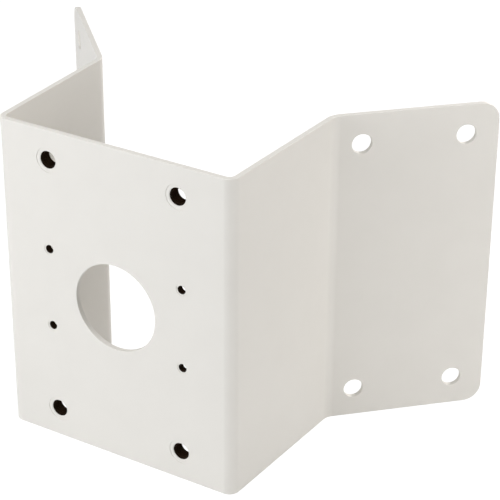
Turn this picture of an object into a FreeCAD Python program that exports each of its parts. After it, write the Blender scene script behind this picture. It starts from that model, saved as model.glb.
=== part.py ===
import FreeCAD, Part
import math
import os
import Sketcher

# Corner mount bracket for a security camera.
# One folded sheet: a front plate that carries the camera, two webs that stand it
# off the building, and two flanges that lie on the walls of an outside corner.
# Press nuts behind the front plate take the screws of the camera and its fittings.
# X runs across the bracket, +Y runs from the camera face towards the building and
# Z is up. The origin is the middle of the cable hole, on the camera face.

SIZES = (
    ("plate_width", 145),
    ("plate_height", 184),
    ("sheet_thickness", 3),
    ("web_length", 94),
    ("web_splay", 2),
    ("flange_length", 90.5),
    ("wall_half_angle", 45),
    ("front_bend_radius", 3),
    ("flange_bend_radius", 8),
    ("flange_corner_radius", 10),
    ("cable_hole_diameter", 50),
    ("wall_hole_diameter", 11),
    ("wall_hole_setback", 15),
    ("wall_hole_spacing", 57.5),
    ("wall_hole_rise", 150),
    ("large_hole_span", 80),
    ("large_hole_rise", 150),
    ("large_thread_diameter", 9),
    ("large_shank_diameter", 14),
    ("large_head_diameter", 17.5),
    ("large_head_height", 5.1),
    ("large_edge_chamfer", 0.3),
    ("small_hole_span", 83.3),
    ("small_hole_rise", 46),
    ("small_thread_diameter", 4.4),
    ("small_shank_diameter", 6.4),
    ("small_head_diameter", 8.7),
    ("small_head_height", 1.6),
    ("small_edge_chamfer", 0.2),
)

SAME_PLACE = 0.001

doc = FreeCAD.newDocument("corner_mount_bracket")


def make_size_sheet():
    sheet = doc.addObject("Spreadsheet::Sheet", "Sizes")
    for row, (name, value) in enumerate(SIZES, start=1):
        sheet.set(f"A{row}", name)
        sheet.set(f"B{row}", str(value))
        sheet.setAlias(f"B{row}", name)
    doc.recompute()
    return sheet


sizes = make_size_sheet()


def size(name):
    return float(getattr(sizes, name))


def add_body(name):
    body = doc.addObject("PartDesign::Body", name)
    body.Label = name
    return body


def origin_element(body, role):
    return next(item for item in body.Origin.OriginFeatures if item.Role == role)


def add_sketch(body, name, role):
    sketch = body.newObject("Sketcher::SketchObject", name)
    sketch.AttachmentSupport = [(origin_element(body, role), "")]
    sketch.MapMode = "FlatFace"
    return sketch


def add_feature(body, kind, name, **settings):
    feature = body.newObject(f"PartDesign::{kind}", name)
    for key, value in settings.items():
        setattr(feature, key, value)
    return feature


def bind(sketch, name, expression, *constraint):
    """Adds a dimension to a sketch and ties it to the sizes."""
    index = sketch.addConstraint(Sketcher.Constraint(*constraint))
    sketch.renameConstraint(index, name)
    sketch.setExpression(f"Constraints.{name}", expression)


def closed_outline(sketch, points):
    """Joins the points end to end with lines, and returns the lines' numbers."""
    following = points[1:] + points[:1]
    lines = [
        sketch.addGeometry(Part.LineSegment(start, end), False)
        for start, end in zip(points, following)
    ]
    for line, next_line in zip(lines, lines[1:] + lines[:1]):
        sketch.addConstraint(Sketcher.Constraint("Coincident", line, 2, next_line, 1))
    return lines


def edge_names(feature, wanted):
    edges = enumerate(feature.Shape.Edges, start=1)
    return [f"Edge{number}" for number, edge in edges if wanted(edge)]


# The folded plate: its right half is drawn from above with sharp corners, raised to
# the plate's height, rounded at its bends, drilled for the wall and then mirrored.

plate = add_body("folded_plate")


def offset_corner(corner, normal_before, normal_after, distance):
    """Where a corner goes when the lines on both sides of it move by a distance."""
    both = normal_before + normal_after
    return corner + both * (2 * distance / both.Length ** 2)


def fold_corners():
    """Sharp corners of the right half, along the camera side and along the wall side."""
    splay = math.radians(size("web_splay"))
    wall = math.radians(size("wall_half_angle"))
    thickness = size("sheet_thickness")
    web_run = FreeCAD.Vector(math.sin(splay), math.cos(splay), 0)
    flange_run = FreeCAD.Vector(math.sin(wall), math.cos(wall), 0)
    front_inward = FreeCAD.Vector(0, 1, 0)
    web_inward = FreeCAD.Vector(-web_run.y, web_run.x, 0)
    flange_inward = FreeCAD.Vector(-flange_run.y, flange_run.x, 0)

    middle = FreeCAD.Vector(0, 0, 0)
    front_corner = FreeCAD.Vector(size("plate_width") / 2, 0, 0)
    flange_corner = front_corner + web_run * size("web_length")
    tip = flange_corner + flange_run * size("flange_length")
    camera_side = [middle, front_corner, flange_corner, tip]
    wall_side = [
        middle + front_inward * thickness,
        offset_corner(front_corner, front_inward, web_inward, thickness),
        offset_corner(flange_corner, web_inward, flange_inward, thickness),
        tip + flange_inward * thickness,
    ]
    return camera_side, wall_side


camera_side, wall_side = fold_corners()


def draw_half_fold(sketch):
    outline = camera_side + wall_side[::-1]
    lines = closed_outline(sketch, outline)
    front, web, flange, tip, flange_back, web_back, front_back, middle = lines
    for rule in (
        ("Coincident", front, 1, -1, 1),
        ("Horizontal", front),
        ("Horizontal", front_back),
        ("Vertical", middle),
        ("Parallel", web, web_back),
        ("Parallel", flange, flange_back),
        ("Perpendicular", flange, tip),
    ):
        sketch.addConstraint(Sketcher.Constraint(*rule))
    for name, line, expression in (
        ("front_half_width", front, "Sizes.plate_width / 2"),
        ("web_length", web, "Sizes.web_length"),
        ("flange_length", flange, "Sizes.flange_length"),
        ("tip_thickness", tip, "Sizes.sheet_thickness"),
        ("front_thickness", middle, "Sizes.sheet_thickness"),
    ):
        bind(sketch, name, expression, "Distance", line, sketch.Geometry[line].length())
    bind(sketch, "web_thickness", "Sizes.sheet_thickness",
         "Distance", web_back, 1, web, size("sheet_thickness"))
    bind(sketch, "web_angle", "90 - Sizes.web_splay",
         "Angle", -1, 1, web, 1, math.radians(90 - size("web_splay")))
    bind(sketch, "flange_angle", "90 - Sizes.wall_half_angle",
         "Angle", -1, 1, flange, 1, math.radians(90 - size("wall_half_angle")))


fold_section = add_sketch(plate, "fold_section", "XY_Plane")
draw_half_fold(fold_section)
half_sheet = add_feature(plate, "Pad", "half_sheet", Profile=fold_section, SideType="Symmetric")
half_sheet.setExpression("Length", "Sizes.plate_height")
doc.recompute()


def round_upright(name, corner, radius):
    """Rounds the upright edge that stands on a corner of the fold."""
    base = plate.Tip

    def on_corner(edge):
        ends = [vertex.Point for vertex in edge.Vertexes]
        return all(math.hypot(p.x - corner.x, p.y - corner.y) < SAME_PLACE for p in ends)

    fillet = add_feature(plate, "Fillet", name, Base=(base, edge_names(base, on_corner)))
    fillet.setExpression("Radius", radius)
    doc.recompute()


round_upright("front_bend_outside", camera_side[1], "Sizes.front_bend_radius + Sizes.sheet_thickness")
round_upright("front_bend_inside", wall_side[1], "Sizes.front_bend_radius")
round_upright("flange_bend_inside", camera_side[2], "Sizes.flange_bend_radius")
round_upright("flange_bend_outside", wall_side[2], "Sizes.flange_bend_radius + Sizes.sheet_thickness")


def at_flange_tip(edge):
    """True for the short edges through the sheet at the flange's two outer corners."""
    ends = [vertex.Point for vertex in edge.Vertexes]
    tips = (camera_side[3], wall_side[3])
    level = abs(ends[0].z - ends[-1].z) < SAME_PLACE
    at_tips = all(min(math.hypot(p.x - q.x, p.y - q.y) for q in tips) < SAME_PLACE for p in ends)
    return level and at_tips


tip_base = plate.Tip
flange_corners = add_feature(plate, "Fillet", "flange_corners",
                             Base=(tip_base, edge_names(tip_base, at_flange_tip)))
flange_corners.setExpression("Radius", "Sizes.flange_corner_radius")
doc.recompute()


def draw_wall_holes(sketch):
    """Four circles on the flange's camera side, measured from its sharp corner."""
    radius = size("wall_hole_diameter") / 2
    near = size("wall_hole_setback")
    far = near + size("wall_hole_spacing")
    half_rise = size("wall_hole_rise") / 2
    columns = (
        ("near", near, "Sizes.wall_hole_setback"),
        ("far", far, "Sizes.wall_hole_setback + Sizes.wall_hole_spacing"),
    )
    rows = (
        ("upper", half_rise, "Sizes.wall_hole_rise / 2"),
        ("lower", -half_rise, "-Sizes.wall_hole_rise / 2"),
    )
    for column, across, across_expression in columns:
        for row, up, up_expression in rows:
            centre = FreeCAD.Vector(across, up, 0)
            circle = sketch.addGeometry(Part.Circle(centre, FreeCAD.Vector(0, 0, 1), radius), False)
            bind(sketch, f"{column}_{row}_across", across_expression,
                 "DistanceX", -1, 1, circle, 3, across)
            bind(sketch, f"{column}_{row}_up", up_expression,
                 "DistanceY", -1, 1, circle, 3, up)
            bind(sketch, f"{column}_{row}_diameter", "Sizes.wall_hole_diameter",
                 "Diameter", circle, 2 * radius)


wall_hole_centres = add_sketch(plate, "wall_hole_centres", "XZ_Plane")
flange_turn = FreeCAD.Rotation(FreeCAD.Vector(0, 1, 0), 90 - size("wall_half_angle"))
wall_hole_centres.AttachmentOffset = FreeCAD.Placement(FreeCAD.Vector(), flange_turn)
for path, expression in (
    ("Base.x", "Sizes.plate_width / 2 + Sizes.web_length * sin(Sizes.web_splay)"),
    ("Base.z", "-Sizes.web_length * cos(Sizes.web_splay)"),
    ("Rotation.Angle", "90 - Sizes.wall_half_angle"),
):
    wall_hole_centres.setExpression(f"AttachmentOffset.{path}", expression)
draw_wall_holes(wall_hole_centres)
doc.recompute()
wall_holes = add_feature(plate, "Hole", "wall_holes", Profile=wall_hole_centres, DepthType="ThroughAll")
wall_holes.setExpression("Diameter", "Sizes.wall_hole_diameter")
doc.recompute()

whole_sheet = add_feature(plate, "Mirrored", "whole_sheet", TransformMode="Whole shape",
                          MirrorPlane=(origin_element(plate, "YZ_Plane"), [""]))
plate.Tip = whole_sheet
doc.recompute()


def cut_front_hole(name, diameter, span=None, rise=None):
    """Cuts a round hole through the front plate, off its middle by half the span and rise."""
    sketch = add_sketch(plate, f"{name}_outline", "XZ_Plane")
    radius = size(diameter) / 2
    across = size(span) / 2 if span else 0
    up = size(rise) / 2 if rise else 0
    centre = FreeCAD.Vector(across, up, 0)
    circle = sketch.addGeometry(Part.Circle(centre, FreeCAD.Vector(0, 0, 1), radius), False)
    bind(sketch, "diameter", f"Sizes.{diameter}", "Diameter", circle, 2 * radius)
    if span:
        bind(sketch, "across", f"Sizes.{span} / 2", "DistanceX", -1, 1, circle, 3, across)
        bind(sketch, "up", f"Sizes.{rise} / 2", "DistanceY", -1, 1, circle, 3, up)
    else:
        sketch.addConstraint(Sketcher.Constraint("Coincident", circle, 3, -1, 1))
    pocket = add_feature(plate, "Pocket", name, Profile=sketch, Type="Length")
    pocket.setExpression("Length", "Sizes.sheet_thickness")
    doc.recompute()
    return pocket


def repeat_at_corners(body, name, span, rise, **settings):
    """Repeats what stands at the upper right corner of a rectangle at the other three."""
    pattern = add_feature(body, "LinearPattern", name,
                          Direction=(origin_element(body, "X_Axis"), [""]), Reversed=True,
                          Direction2=(origin_element(body, "Z_Axis"), [""]), Reversed2=True,
                          Occurrences=2, Occurrences2=2, **settings)
    pattern.setExpression("Length", f"Sizes.{span}")
    pattern.setExpression("Length2", f"Sizes.{rise}")
    body.Tip = pattern
    doc.recompute()
    return pattern


cut_front_hole("cable_hole", "cable_hole_diameter")
for kind in ("large", "small"):
    seat = cut_front_hole(f"{kind}_nut_hole", f"{kind}_shank_diameter",
                          f"{kind}_hole_span", f"{kind}_hole_rise")
    repeat_at_corners(plate, f"{kind}_nut_holes", f"{kind}_hole_span", f"{kind}_hole_rise",
                      Originals=[seat])


# Press nuts: a turned shank fills its hole in the front plate, flush with the camera
# face, and a wider head bears on the back of the plate. The thread runs through both.

def draw_nut_section(sketch, kind):
    """Half of the nut's section, from its axis outwards and from the camera face back."""
    bore = size(f"{kind}_thread_diameter") / 2
    shank = size(f"{kind}_shank_diameter") / 2
    head = size(f"{kind}_head_diameter") / 2
    seat = size("sheet_thickness")
    back = seat + size(f"{kind}_head_height")
    corners = ((bore, 0), (shank, 0), (shank, seat), (head, seat), (head, back), (bore, back))
    lines = closed_outline(sketch, [FreeCAD.Vector(x, y, 0) for x, y in corners])
    face, shank_side, head_seat, head_side, head_back, bore_wall = lines
    for line in (face, head_seat, head_back):
        sketch.addConstraint(Sketcher.Constraint("Horizontal", line))
    for line in (shank_side, head_side, bore_wall):
        sketch.addConstraint(Sketcher.Constraint("Vertical", line))
    sketch.addConstraint(Sketcher.Constraint("PointOnObject", face, 1, -1))
    for name, line, radius in (
        ("thread", face, bore),
        ("shank", shank_side, shank),
        ("head", head_side, head),
    ):
        bind(sketch, f"{name}_radius", f"Sizes.{kind}_{name}_diameter / 2",
             "DistanceX", -1, 1, line, 1, radius)
    bind(sketch, "shank_length", "Sizes.sheet_thickness", "Distance", shank_side, seat)
    bind(sketch, "head_height", f"Sizes.{kind}_head_height", "Distance", head_side, back - seat)


def make_press_nuts(kind):
    body = add_body(f"{kind}_press_nuts")
    section = add_sketch(body, f"{kind}_nut_section", "XY_Plane")
    section.setExpression("AttachmentOffset.Base.x", f"Sizes.{kind}_hole_span / 2")
    section.setExpression("AttachmentOffset.Base.z", f"Sizes.{kind}_hole_rise / 2")
    draw_nut_section(section, kind)
    turned = add_feature(body, "Revolution", f"{kind}_nut", Profile=section,
                         ReferenceAxis=(section, ["V_Axis"]))
    doc.recompute()

    bore = size(f"{kind}_thread_diameter") / 2
    head = size(f"{kind}_head_diameter") / 2
    back = size("sheet_thickness") + size(f"{kind}_head_height")

    def broken(edge):
        """True for both mouths of the thread and the head's outer edge at the back."""
        round_edge = isinstance(edge.Curve, Part.Circle)
        if not round_edge:
            return False
        mouth = abs(edge.Curve.Radius - bore) < SAME_PLACE
        head_edge = abs(edge.Curve.Radius - head) < SAME_PLACE
        at_back = abs(edge.Curve.Center.y - back) < SAME_PLACE
        return mouth or (head_edge and at_back)

    chamfer = add_feature(body, "Chamfer", f"{kind}_nut_edges", Base=(turned, edge_names(turned, broken)))
    chamfer.setExpression("Size", f"Sizes.{kind}_edge_chamfer")
    doc.recompute()
    repeat_at_corners(body, f"four_{kind}_nuts", f"{kind}_hole_span", f"{kind}_hole_rise",
                      TransformMode="Whole shape")
    return body


bodies = [plate] + [make_press_nuts(kind) for kind in ("large", "small")]
doc.recompute()

for item in doc.Objects:
    if "Invalid" in item.State or "Error" in item.State:
        raise RuntimeError(f"{item.Name} did not recompute: {item.State}")
for body in bodies:
    if body.Shape.isNull() or not body.Shape.isValid():
        raise RuntimeError(f"{body.Label} has no valid shape")

os.makedirs("parts", exist_ok=True)
for body in bodies:
    body.Shape.exportStep(f"parts/{body.Label}.step")
    solids = len(body.Shape.Solids)
    print(f"{body.Label}: {solids} solid(s), {body.Shape.Volume:.1f} cubic mm")
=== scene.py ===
import math

import bmesh
import bpy
from mathutils import Matrix, Vector


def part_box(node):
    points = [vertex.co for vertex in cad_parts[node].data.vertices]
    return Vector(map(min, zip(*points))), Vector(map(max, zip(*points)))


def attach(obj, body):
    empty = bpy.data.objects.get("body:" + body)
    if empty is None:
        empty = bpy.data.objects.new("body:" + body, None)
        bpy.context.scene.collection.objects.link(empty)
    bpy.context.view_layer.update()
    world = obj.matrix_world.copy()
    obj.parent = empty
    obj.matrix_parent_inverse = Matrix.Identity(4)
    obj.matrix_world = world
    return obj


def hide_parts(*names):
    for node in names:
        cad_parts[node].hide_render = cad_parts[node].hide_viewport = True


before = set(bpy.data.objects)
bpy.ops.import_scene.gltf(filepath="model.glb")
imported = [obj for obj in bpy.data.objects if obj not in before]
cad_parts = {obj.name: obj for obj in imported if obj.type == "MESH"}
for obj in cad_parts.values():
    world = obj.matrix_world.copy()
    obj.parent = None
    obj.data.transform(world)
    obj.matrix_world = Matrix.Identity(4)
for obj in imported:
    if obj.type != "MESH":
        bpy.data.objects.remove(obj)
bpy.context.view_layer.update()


# Camera: a long lens on a tripod, about a metre from the bracket, to its right and above
# it. It is turned a little about its own axis, as the photograph is.

# Angles in degrees, lengths in metres.
camera_azimuth = 31.68
camera_elevation = 27.65
camera_roll = 0.353
camera_distance = 0.9769
camera_offset_right = 0.07006
camera_offset_up = 0.03086
lens_mm = 135


def towards(azimuth, elevation):
    """The direction from the bracket to a place round it and above it, in degrees."""
    turn, rise = math.radians(azimuth), math.radians(elevation)
    return Vector((
        math.sin(turn) * math.cos(rise), -math.cos(turn) * math.cos(rise), math.sin(rise)))


towards_camera = towards(camera_azimuth, camera_elevation)
level_right = towards(camera_azimuth + 90, 0)
level_up = towards_camera.cross(level_right)
roll = math.radians(camera_roll)
camera_right = level_right * math.cos(roll) + level_up * math.sin(roll)
camera_up = towards_camera.cross(camera_right)

camera_data = bpy.data.cameras.new("camera")
camera_data.lens = lens_mm
camera = bpy.data.objects.new("camera", camera_data)
bpy.context.scene.collection.objects.link(camera)
camera.matrix_world = Matrix.Translation(
    towards_camera * camera_distance
    + level_right * camera_offset_right
    + level_up * camera_offset_up
) @ Matrix((camera_right, camera_up, towards_camera)).transposed().to_4x4()
bpy.context.scene.camera = camera


# Folded plate: one sheet of 3 mm steel, cut to its outline, folded four times on a
# press brake, drilled, and powder coated in satin ivory. The front plate carries the
# camera, the webs stand it off, and the flanges lie on the two walls of a corner.

# Pieces are drawn in millimetres and brought to metres when they are done. Points count
# as the same within a touch, and shorter edges than a sliver are waste from the cutting.
millimetre = 0.001
touch = 0.01
sliver = 0.0005

# Bends are given by their inside radius.
sheet_thickness = 3
plate_width = 145
plate_height = 184
web_length = 94
web_splay = math.radians(2)
flange_length = 90.5
wall_half_angle = math.radians(45)
front_bend_radius = 3
flange_bend_radius = 8
flange_corner_radius = 10
bend_steps = 14
corner_steps = 10

edge_round = 0.3
edge_steps = 3
sharp_edge_angle = math.radians(60)
plate_crease_angle = math.radians(40)

cable_hole_diameter = 50
cable_hole_sides = 128
wall_hole_diameter = 11
wall_hole_sides = 56
wall_hole_setback = 15
wall_hole_spacing = 57.5
wall_hole_rise = 150
drill_reach = 4 * sheet_thickness

large_shank_diameter = 14
large_nut_sides = 64
large_hole_span, large_hole_rise = 80, 150
small_shank_diameter = 6.4
small_nut_sides = 48
small_hole_span, small_hole_rise = 83.3, 46
nut_seats = (
    (large_hole_span, large_hole_rise, large_shank_diameter, large_nut_sides),
    (small_hole_span, small_hole_rise, small_shank_diameter, small_nut_sides),
)
seat_round = 0.15


def select_only(piece):
    bpy.ops.object.select_all(action="DESELECT")
    piece.select_set(True)
    bpy.context.view_layer.objects.active = piece


def draw_line(name, points):
    """A chain of edges drawn from point to point, left open in edit mode."""
    bpy.ops.object.select_all(action="DESELECT")
    bpy.ops.mesh.primitive_plane_add(size=touch, location=points[0])
    piece = bpy.context.object
    piece.name = name
    bpy.ops.object.transform_apply(location=True, rotation=True, scale=True)
    bpy.ops.object.mode_set(mode="EDIT")
    bpy.ops.mesh.select_mode(type="VERT")
    bpy.ops.mesh.select_all(action="SELECT")
    bpy.ops.mesh.merge(type="CENTER")
    for here, there in zip(points, points[1:]):
        bpy.ops.mesh.extrude_region_move(
            TRANSFORM_OT_translate={"value": Vector(there) - Vector(here)})
    return piece


def pick(piece, kind, wanted):
    """Selects, in edit mode, the parts whose corners and middle are all wanted."""
    bpy.ops.mesh.select_mode(type=kind)
    bpy.ops.mesh.select_all(action="DESELECT")
    mesh = bmesh.from_edit_mesh(piece.data)
    parts = {"VERT": mesh.verts, "EDGE": mesh.edges}[kind]
    for part in parts:
        corners = [corner.co for corner in ([part] if kind == "VERT" else part.verts)]
        middle = sum(corners, Vector()) / len(corners)
        if all(wanted(point) for point in (*corners, middle)):
            part.select_set(True)
    mesh.select_flush_mode()
    bmesh.update_edit_mesh(piece.data)


def round_off(setback, steps, affect="EDGES"):
    """Rounds what is selected in edit mode with an arc that starts a setback away."""
    circular = 0.5
    bpy.ops.mesh.bevel(offset_type="OFFSET", offset=setback, segments=steps,
                       profile=circular, affect=affect)


def turn_outwards():
    """Turns all faces outwards, in edit mode, and goes back to object mode."""
    bpy.ops.mesh.select_all(action="SELECT")
    bpy.ops.mesh.normals_make_consistent(inside=False)
    bpy.ops.object.mode_set(mode="OBJECT")


def apply_modifier(piece, kind, **settings):
    """Puts one modifier on a piece and applies it, and leaves the piece selected."""
    select_only(piece)
    modifier = piece.modifiers.new(kind, kind)
    for key, value in settings.items():
        setattr(modifier, key, value)
    bpy.ops.object.modifier_apply(modifier=modifier.name)


def join(pieces):
    """Makes one object of several, and leaves it selected."""
    bpy.ops.object.select_all(action="DESELECT")
    for piece in pieces:
        piece.select_set(True)
    bpy.context.view_layer.objects.active = pieces[0]
    bpy.ops.object.join()
    return pieces[0]


def cut(piece, tool, operation="DIFFERENCE", keep_tool=False):
    """Takes a tool's form from a piece, or keeps only what lies within it."""
    apply_modifier(piece, "BOOLEAN", object=tool, operation=operation, solver="EXACT")
    if not keep_tool:
        bpy.data.objects.remove(tool)


def drill_bit(centre, direction, diameter, reach, sides):
    """A round cutter through a centre, to be taken from a piece by cut()."""
    turn = Vector(direction).to_track_quat("Z", "Y").to_euler()
    bpy.ops.object.select_all(action="DESELECT")
    bpy.ops.mesh.primitive_cylinder_add(
        vertices=sides, radius=diameter / 2, depth=reach, location=centre, rotation=turn)
    bpy.ops.object.transform_apply(location=True, rotation=True, scale=True)
    return bpy.context.object


def clean_cuts(piece):
    """Closes the slivers that cutting leaves, and turns all faces outwards."""
    select_only(piece)
    bpy.ops.object.mode_set(mode="EDIT")
    bpy.ops.mesh.select_all(action="SELECT")
    bpy.ops.mesh.remove_doubles(threshold=sliver)
    bpy.ops.mesh.dissolve_degenerate(threshold=sliver)
    turn_outwards()


def shade_smooth(piece, crease_angle):
    """Smooths the shading up to an angle between faces, and keeps large faces flat."""
    full_weight = 100
    bpy.ops.object.shade_smooth_by_angle(angle=crease_angle)
    apply_modifier(piece, "WEIGHTED_NORMAL", mode="FACE_AREA", weight=full_weight,
                   keep_sharp=True)


def to_metres(piece):
    select_only(piece)
    piece.scale = (millimetre, millimetre, millimetre)
    bpy.ops.object.transform_apply(location=False, rotation=False, scale=True)


def four_corners(span, rise):
    """The (x, z) corners of a rectangle round the middle of the front plate."""
    return [(x * span / 2, z * rise / 2) for x in (-1, 1) for z in (-1, 1)]


# Half the sheet is drawn as the line of its face seen from in front, raised to the
# plate's height, rounded at its folds and corners, mirrored, and given its thickness.
web_run = Vector((math.sin(web_splay), math.cos(web_splay), 0))
flange_run = Vector((math.sin(wall_half_angle), math.cos(wall_half_angle), 0))
flange_face = Vector((flange_run.y, -flange_run.x, 0))
front_fold = Vector((plate_width / 2, 0, 0))
flange_fold = front_fold + web_run * web_length
flange_tip = flange_fold + flange_run * flange_length
bottom = Vector((0, 0, -plate_height / 2))

plate = draw_line("folded_plate_coated",
                  [bottom, front_fold + bottom, flange_fold + bottom, flange_tip + bottom])
bpy.ops.mesh.select_all(action="SELECT")
bpy.ops.mesh.extrude_region_move(TRANSFORM_OT_translate={"value": (0, 0, plate_height)})


def on_upright(line):
    """True on the upright line through a point."""
    return lambda point: (point.xy - line.xy).length < touch


# The drawn face lies outside the front fold and inside the flange's.
for fold, radius, turn in (
    (front_fold, front_bend_radius + sheet_thickness, math.pi / 2 - web_splay),
    (flange_fold, flange_bend_radius, wall_half_angle - web_splay),
):
    pick(plate, "EDGE", on_upright(fold))
    round_off(radius * math.tan(turn / 2), bend_steps)
pick(plate, "VERT", on_upright(flange_tip))
round_off(flange_corner_radius, corner_steps, affect="VERTICES")

# An open sheet has no inside, so its faces may all have to be turned to the camera.
turn_outwards()
front_normal = next(face.normal for face in plate.data.polygons
                    if abs(face.center.y) < touch)
if front_normal.y > 0:
    bpy.ops.object.mode_set(mode="EDIT")
    bpy.ops.mesh.select_all(action="SELECT")
    bpy.ops.mesh.flip_normals()
    bpy.ops.object.mode_set(mode="OBJECT")
apply_modifier(plate, "MIRROR", use_axis=(True, False, False), merge_threshold=touch)
apply_modifier(plate, "SOLIDIFY", thickness=sheet_thickness, offset=-1,
               use_even_offset=True, use_quality_normals=True)

drill_bits = [
    drill_bit((0, 0, 0), (0, 1, 0), cable_hole_diameter, drill_reach, cable_hole_sides)]
for span, rise, diameter, sides in nut_seats:
    for x, z in four_corners(span, rise):
        drill_bits.append(drill_bit((x, 0, z), (0, 1, 0), diameter, drill_reach, sides))
for along in (wall_hole_setback, wall_hole_setback + wall_hole_spacing):
    spot = flange_fold + flange_run * along
    for side in (-1, 1):
        for z in (-wall_hole_rise / 2, wall_hole_rise / 2):
            drill_bits.append(drill_bit(
                (side * spot.x, spot.y, z), (side * flange_face.x, flange_face.y, 0),
                wall_hole_diameter, drill_reach, wall_hole_sides))
cut(plate, join(drill_bits))
clean_cuts(plate)


def on_nut_seats(span, rise, diameter):
    """True on the camera side's rims of the holes that one kind of press nut fills."""
    return lambda point: abs(point.y) < touch and any(
        abs(math.hypot(point.x - x, point.z - z) - diameter / 2) < touch
        for x, z in four_corners(span, rise))


bpy.ops.object.mode_set(mode="EDIT")
for span, rise, diameter, _ in nut_seats:
    pick(plate, "EDGE", on_nut_seats(span, rise, diameter))
    round_off(seat_round, edge_steps)
bpy.ops.object.mode_set(mode="OBJECT")
apply_modifier(plate, "BEVEL", width=edge_round, segments=edge_steps, limit_method="ANGLE",
               angle_limit=sharp_edge_angle)
shade_smooth(plate, plate_crease_angle)
to_metres(plate)

# The coat's two tints, its least and greatest roughness, and how many of its marks there
# are to a metre and how deep they are, in metres.
coat_shade = (0.786, 0.770, 0.726, 1)
coat_light = (0.798, 0.782, 0.738, 1)
coat_roughness = (0.40, 0.50)
clouds_per_metre = 38
sheen_marks_per_metre = 240
swells_per_metre, swell_depth = 110, 0.00004
peel_per_metre, peel_depth = 900, 0.00002


def noise(nodes, links, scale, detail, roughness):
    """Noise that stays where it is on the piece, from 0 to 1 and mostly near 0.5."""
    place = nodes.new("ShaderNodeTexCoord").outputs["Object"]
    node = nodes.new("ShaderNodeTexNoise")
    node.inputs["Scale"].default_value = scale
    node.inputs["Detail"].default_value = detail
    node.inputs["Roughness"].default_value = roughness
    links.new(place, node.inputs["Vector"])
    return node.outputs["Fac"]


def mix_tints(nodes, links, value, first, last, start, end):
    """A colour that goes from one tint to another while the value goes from start to end."""
    ramp = nodes.new("ShaderNodeValToRGB")
    first_stop, last_stop = ramp.color_ramp.elements
    first_stop.position = start
    first_stop.color = first
    last_stop.position = end
    last_stop.color = last
    links.new(value, ramp.inputs["Fac"])
    return ramp.outputs["Color"]


def spread(nodes, links, value, low, high, start=0.0, end=1.0):
    """A number that goes from low to high while the value goes from start to end."""
    node = nodes.new("ShaderNodeMapRange")
    node.inputs["From Min"].default_value = start
    node.inputs["From Max"].default_value = end
    node.inputs["To Min"].default_value = low
    node.inputs["To Max"].default_value = high
    links.new(value, node.inputs["Value"])
    return node.outputs["Result"]


def emboss(nodes, links, height, strength, depth):
    """Fine relief in the shading. It gives the node, so that one can lie on another."""
    node = nodes.new("ShaderNodeBump")
    node.inputs["Strength"].default_value = strength
    node.inputs["Distance"].default_value = depth
    links.new(height, node.inputs["Height"])
    return node


def ivory_coat():
    """Satin ivory powder coat: fine orange peel, a slow swell and faint cloudiness."""
    material = bpy.data.materials.new("ivory_powder_coat")
    material.use_nodes = True
    nodes, links = material.node_tree.nodes, material.node_tree.links
    shader = nodes["Principled BSDF"]
    shader.inputs["Specular IOR Level"].default_value = 0.5

    clouds = noise(nodes, links, clouds_per_metre, detail=3, roughness=0.55)
    ivory = mix_tints(nodes, links, clouds, coat_shade, coat_light, start=0.35, end=0.65)
    links.new(ivory, shader.inputs["Base Color"])

    marks = noise(nodes, links, sheen_marks_per_metre, detail=4, roughness=0.6)
    sheen = spread(nodes, links, marks, *coat_roughness, start=0.3, end=0.7)
    links.new(sheen, shader.inputs["Roughness"])

    swells = noise(nodes, links, swells_per_metre, detail=2, roughness=0.5)
    swell = emboss(nodes, links, swells, strength=0.2, depth=swell_depth)
    pits = noise(nodes, links, peel_per_metre, detail=3, roughness=0.55)
    peel = emboss(nodes, links, pits, strength=0.3, depth=peel_depth)
    links.new(swell.outputs["Normal"], peel.inputs["Normal"])
    links.new(peel.outputs["Normal"], shader.inputs["Normal"])
    return material


coat = ivory_coat()
plate.data.materials.clear()
plate.data.materials.append(coat)
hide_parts("folded_plate")
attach(plate, "root")


# Large press nuts: turned steel nuts with an M10 thread, pressed into the front plate
# from behind until their shanks stand just below the camera face. They are coated with
# the plate, while plugs keep the coat out of the threads.

# Radii and lengths in millimetres. The mouths are the countersinks in front and behind,
# and the coat reaches a little way into them.
large_nut = {
    "shank": large_shank_diameter / 2, "head": 17.5 / 2, "head_height": 5.1,
    "root": 10.0 / 2, "crest": 8.5 / 2, "pitch": 1.5, "mouth": 10.2 / 2,
    "back_mouth": 9.7 / 2, "coat_reach": 0.3, "head_chamfer": 0.6,
    "sides": large_nut_sides,
}
nut_recess = 0.25
nut_edge_break = 0.06
nut_crease_angle = math.radians(30)

thread_half_angle = math.radians(30)
thread_sides = 48
spare_turns = 4
pilot_share = 0.85
core_clearance = 0.3
countersink_sides = 64
countersink_overshoot = 1


def spin_section(name, section, steps):
    """Turns a closed section, given as (radius, depth) corners, about the Y axis."""
    piece = draw_line(name, [(radius, depth, 0) for radius, depth in section])
    bpy.ops.mesh.select_all(action="SELECT")
    bpy.ops.mesh.edge_face_add()
    bpy.ops.mesh.delete(type="ONLY_FACE")
    bpy.ops.mesh.select_all(action="SELECT")
    bpy.ops.mesh.spin(steps=steps, angle=2 * math.pi, center=(0, 0, 0), axis=(0, 1, 0))
    bpy.ops.mesh.select_all(action="SELECT")
    bpy.ops.mesh.remove_doubles(threshold=sliver)
    turn_outwards()
    return piece


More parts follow.
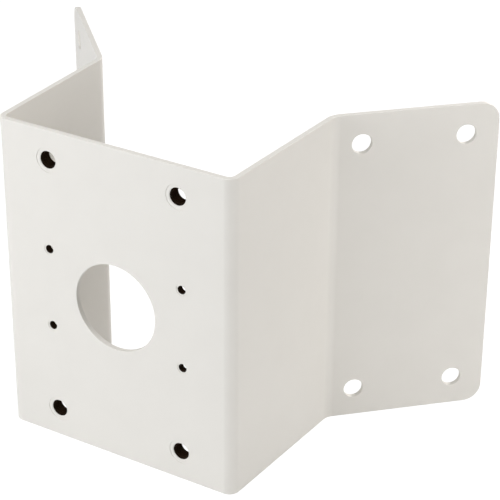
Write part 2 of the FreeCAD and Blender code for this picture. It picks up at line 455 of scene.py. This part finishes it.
def tap(name, nut, length):
    """A solid thread form along Y: one pitch of the profile, wound up and cut off flat."""
    pitch, crest, root = nut["pitch"], nut["crest"], nut["root"]
    flank = (root - crest) * math.tan(thread_half_angle)
    crest_flat = pitch / 4
    root_flat = pitch - crest_flat - 2 * flank
    depth = -spare_turns / 2 * pitch
    profile = [(crest, depth)]
    for radius, step in ((crest, crest_flat), (root, flank), (root, root_flat), (crest, flank)):
        depth += step
        profile.append((radius, depth))
    piece = draw_line(name, [(radius, depth, 0) for radius, depth in profile])
    bpy.ops.object.mode_set(mode="OBJECT")
    turns = math.ceil(length / pitch) + spare_turns
    apply_modifier(piece, "SCREW", axis="Y", screw_offset=pitch, angle=2 * math.pi,
                   iterations=turns, steps=thread_sides, render_steps=thread_sides,
                   use_smooth_shade=False)
    bpy.ops.object.mode_set(mode="EDIT")
    bpy.ops.mesh.select_all(action="SELECT")
    bpy.ops.mesh.remove_doubles(threshold=sliver)
    for end, outwards in ((-pitch / 2, -1), (length + pitch / 2, 1)):
        bpy.ops.mesh.select_all(action="SELECT")
        bpy.ops.mesh.bisect(plane_co=(0, end, 0), plane_no=(0, outwards, 0),
                            use_fill=True, clear_outer=True, threshold=sliver)
    turn_outwards()
    return piece


def cone_bit(radius, depth, direction):
    """A 90 degree countersink at a depth along Y, opening towards the direction."""
    base = radius + countersink_overshoot
    centre = depth + direction * (countersink_overshoot - base / 2)
    bpy.ops.object.select_all(action="DESELECT")
    bpy.ops.mesh.primitive_cone_add(
        vertices=countersink_sides, radius1=base, radius2=0, depth=base,
        location=(0, centre, 0), rotation=(direction * math.pi / 2, 0, 0))
    bpy.ops.object.transform_apply(location=True, rotation=True, scale=True)
    return bpy.context.object


def make_nut(kind, nut):
    """One nut at the origin, as its coated outside and its bare thread."""
    back = sheet_thickness + nut["head_height"]
    pilot = nut["crest"] * pilot_share
    body = spin_section(f"{kind}_nut_bodies", [
        (pilot, nut_recess), (nut["shank"] - nut_edge_break, nut_recess),
        (nut["shank"], nut_recess + nut_edge_break),
        (nut["shank"], sheet_thickness), (nut["head"], sheet_thickness),
        (nut["head"], back - nut["head_chamfer"]), (nut["head"] - nut["head_chamfer"], back),
        (pilot, back)], nut["sides"])
    cut(body, tap(f"{kind}_tap", nut, back))
    cut(body, cone_bit(nut["mouth"], nut_recess, -1))
    cut(body, cone_bit(nut["back_mouth"], back, 1))

    # The nut is parted along a core a little wider than its thread.
    core_diameter = 2 * (nut["root"] + core_clearance)
    core_length = back - nut_recess - 2 * nut["coat_reach"]
    core = drill_bit(
        (0, (nut_recess + back) / 2, 0), (0, 1, 0), core_diameter, core_length, thread_sides)
    select_only(body)
    bpy.ops.object.duplicate()
    thread = bpy.context.object
    thread.name = f"{kind}_nut_threads"
    cut(thread, core, operation="INTERSECT", keep_tool=True)
    cut(body, core)
    clean_cuts(body)
    clean_cuts(thread)
    return body, thread


def place_at_corners(piece, span, rise):
    """Copies a piece from the origin to the four corners of a rectangle, as one object."""
    copies = []
    for x, z in four_corners(span, rise):
        select_only(piece)
        bpy.ops.object.duplicate()
        copy = bpy.context.object
        copy.location = (x, 0, z)
        bpy.ops.object.transform_apply(location=True, rotation=True, scale=True)
        copies.append(copy)
    name = piece.name
    bpy.data.objects.remove(piece)
    joined = join(copies)
    joined.name = name
    shade_smooth(joined, nut_crease_angle)
    to_metres(joined)
    return joined


thread_edge_tint = (0.5, 0.38, 0.27, 1)
thread_shade = (0.008, 0.0052, 0.0033, 1)
thread_light = (0.024, 0.0155, 0.0098, 1)
thread_roughness = (0.32, 0.62)
tap_marks_per_metre, tap_mark_depth = 2600, 0.00002


def bare_black_steel():
    """Blackened steel inside the threads, with a brown cast and the tap's fine marks."""
    material = bpy.data.materials.new("bare_black_steel")
    material.use_nodes = True
    nodes, links = material.node_tree.nodes, material.node_tree.links
    shader = nodes["Principled BSDF"]
    shader.inputs["Metallic"].default_value = 1.0
    shader.inputs["Specular Tint"].default_value = thread_edge_tint

    marks = noise(nodes, links, tap_marks_per_metre, detail=3, roughness=0.5)
    brown_black = mix_tints(nodes, links, marks, thread_shade, thread_light, start=0.35, end=0.75)
    links.new(brown_black, shader.inputs["Base Color"])
    links.new(spread(nodes, links, marks, *thread_roughness), shader.inputs["Roughness"])
    relief = emboss(nodes, links, marks, strength=0.4, depth=tap_mark_depth)
    links.new(relief.outputs["Normal"], shader.inputs["Normal"])
    return material


black_steel = bare_black_steel()


def finish_nuts(kind, nut, span, rise):
    """Makes the four nuts of one kind, in their places and finishes."""
    body, thread = make_nut(kind, nut)
    for piece, material, slot in (
        (body, coat, "ivory_powder_coat"), (thread, black_steel, "nut_steel"),
    ):
        nuts = place_at_corners(piece, span, rise)
        nuts.data.materials.clear()
        nuts.data.materials.append(material)
        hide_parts(f"{kind}_press_nuts")
        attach(nuts, "root")


finish_nuts("large", large_nut, large_hole_span, large_hole_rise)


# Small press nuts: the same kind of nut with an M5 thread and a thin head, beside the
# cable hole. They take the screws of a box or cover on the two-gang screw pattern.

small_nut = {
    "shank": small_shank_diameter / 2, "head": 8.7 / 2, "head_height": 1.6,
    "root": 5.0 / 2, "crest": 4.2 / 2, "pitch": 0.8, "mouth": 5.1 / 2,
    "back_mouth": 5.1 / 2, "coat_reach": 0.15, "head_chamfer": 0.2,
    "sides": small_nut_sides,
}
finish_nuts("small", small_nut, small_hole_span, small_hole_rise)


# Floor and backdrop: a wide sheet of white paper under the bracket. To the camera it
# glows at the strength of plain white and still takes the bracket's shadow, and to the
# bracket it is matt paper that throws light back up.

floor_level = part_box("folded_plate")[0].z
paper_side = 14
paper_white = 0.80
paper_white_under_glow = 0.12
paper_roughness = 0.9

bpy.ops.object.select_all(action="DESELECT")
bpy.ops.mesh.primitive_plane_add(size=paper_side, location=(0, 0, floor_level))
floor = bpy.context.object
floor.name = "floor"
bpy.ops.object.transform_apply(location=True, rotation=True, scale=True)


def seen_directly(nodes, links):
    """1 on the rays by which the camera sees, reflected or through glass too, else 0."""
    path = nodes.new("ShaderNodeLightPath")
    seen = path.outputs["Is Camera Ray"]
    for way in ("Is Glossy Ray", "Is Transmission Ray"):
        either = nodes.new("ShaderNodeMath")
        either.operation = "MAXIMUM"
        links.new(seen, either.inputs[0])
        links.new(path.outputs[way], either.inputs[1])
        seen = either.outputs["Value"]
    return seen


def white_paper():
    """Matt paper, with a glow that only the camera sees."""
    material = bpy.data.materials.new("white_paper")
    material.use_nodes = True
    nodes, links = material.node_tree.nodes, material.node_tree.links
    shader = nodes["Principled BSDF"]
    shader.inputs["Roughness"].default_value = paper_roughness
    shader.inputs["Specular IOR Level"].default_value = 0.0
    shader.inputs["Emission Color"].default_value = (1, 1, 1, 1)
    seen = seen_directly(nodes, links)
    paper = spread(nodes, links, seen, paper_white, paper_white_under_glow)
    links.new(paper, shader.inputs["Base Color"])
    links.new(seen, shader.inputs["Emission Strength"])
    return material


floor.data.materials.append(white_paper())


# Studio light: a room that the camera sees as plain white and that gives the bracket
# little light of its own, and five large soft boxes round the bracket and above it.

room_light = 0.02
room_white = 1.0
daylight = (0.98, 0.985, 1.0)
plain_white = (1.0, 0.988, 0.982)
warm_white = (1.0, 0.974, 0.953)
lamp_white = (1.0, 0.94, 0.89)

world = bpy.data.worlds.new("studio")
bpy.context.scene.world = world
world.use_nodes = True
world_nodes, world_links = world.node_tree.nodes, world.node_tree.links
room = world_nodes["Background"]
room.inputs["Color"].default_value = (1, 1, 1, 1)
room_seen = seen_directly(world_nodes, world_links)
room_level = spread(world_nodes, world_links, room_seen, room_light, room_white)
world_links.new(room_level, room.inputs["Strength"])


def soft_box(name, azimuth, elevation, distance, side, watts, tint):
    """A square lamp turned to the bracket, and unseen by the camera."""
    direction = towards(azimuth, elevation)
    lamp_data = bpy.data.lights.new(name, "AREA")
    lamp_data.shape = "SQUARE"
    lamp_data.size = side
    lamp_data.energy = watts
    lamp_data.color = tint
    lamp = bpy.data.objects.new(name, lamp_data)
    bpy.context.scene.collection.objects.link(lamp)
    lamp.visible_camera = False
    lamp.location = direction * distance
    lamp.rotation_mode = "QUATERNION"
    lamp.rotation_quaternion = direction.to_track_quat("Z", "Y")


soft_box("front_box", azimuth=0, elevation=15, distance=1.6, side=0.9, watts=7.4, tint=daylight)
soft_box("left_box", azimuth=-30, elevation=10, distance=0.9, side=0.5, watts=3.8, tint=daylight)
soft_box("right_box", azimuth=105, elevation=15, distance=0.9, side=0.5, watts=3.54,
         tint=warm_white)
soft_box("overhead_box", azimuth=0, elevation=89, distance=0.9, side=0.5, watts=4.4,
         tint=plain_white)
soft_box("back_box", azimuth=180, elevation=15, distance=1.6, side=0.9, watts=9.5,
         tint=lamp_white)

bpy.context.scene.view_settings.view_transform = "Standard"
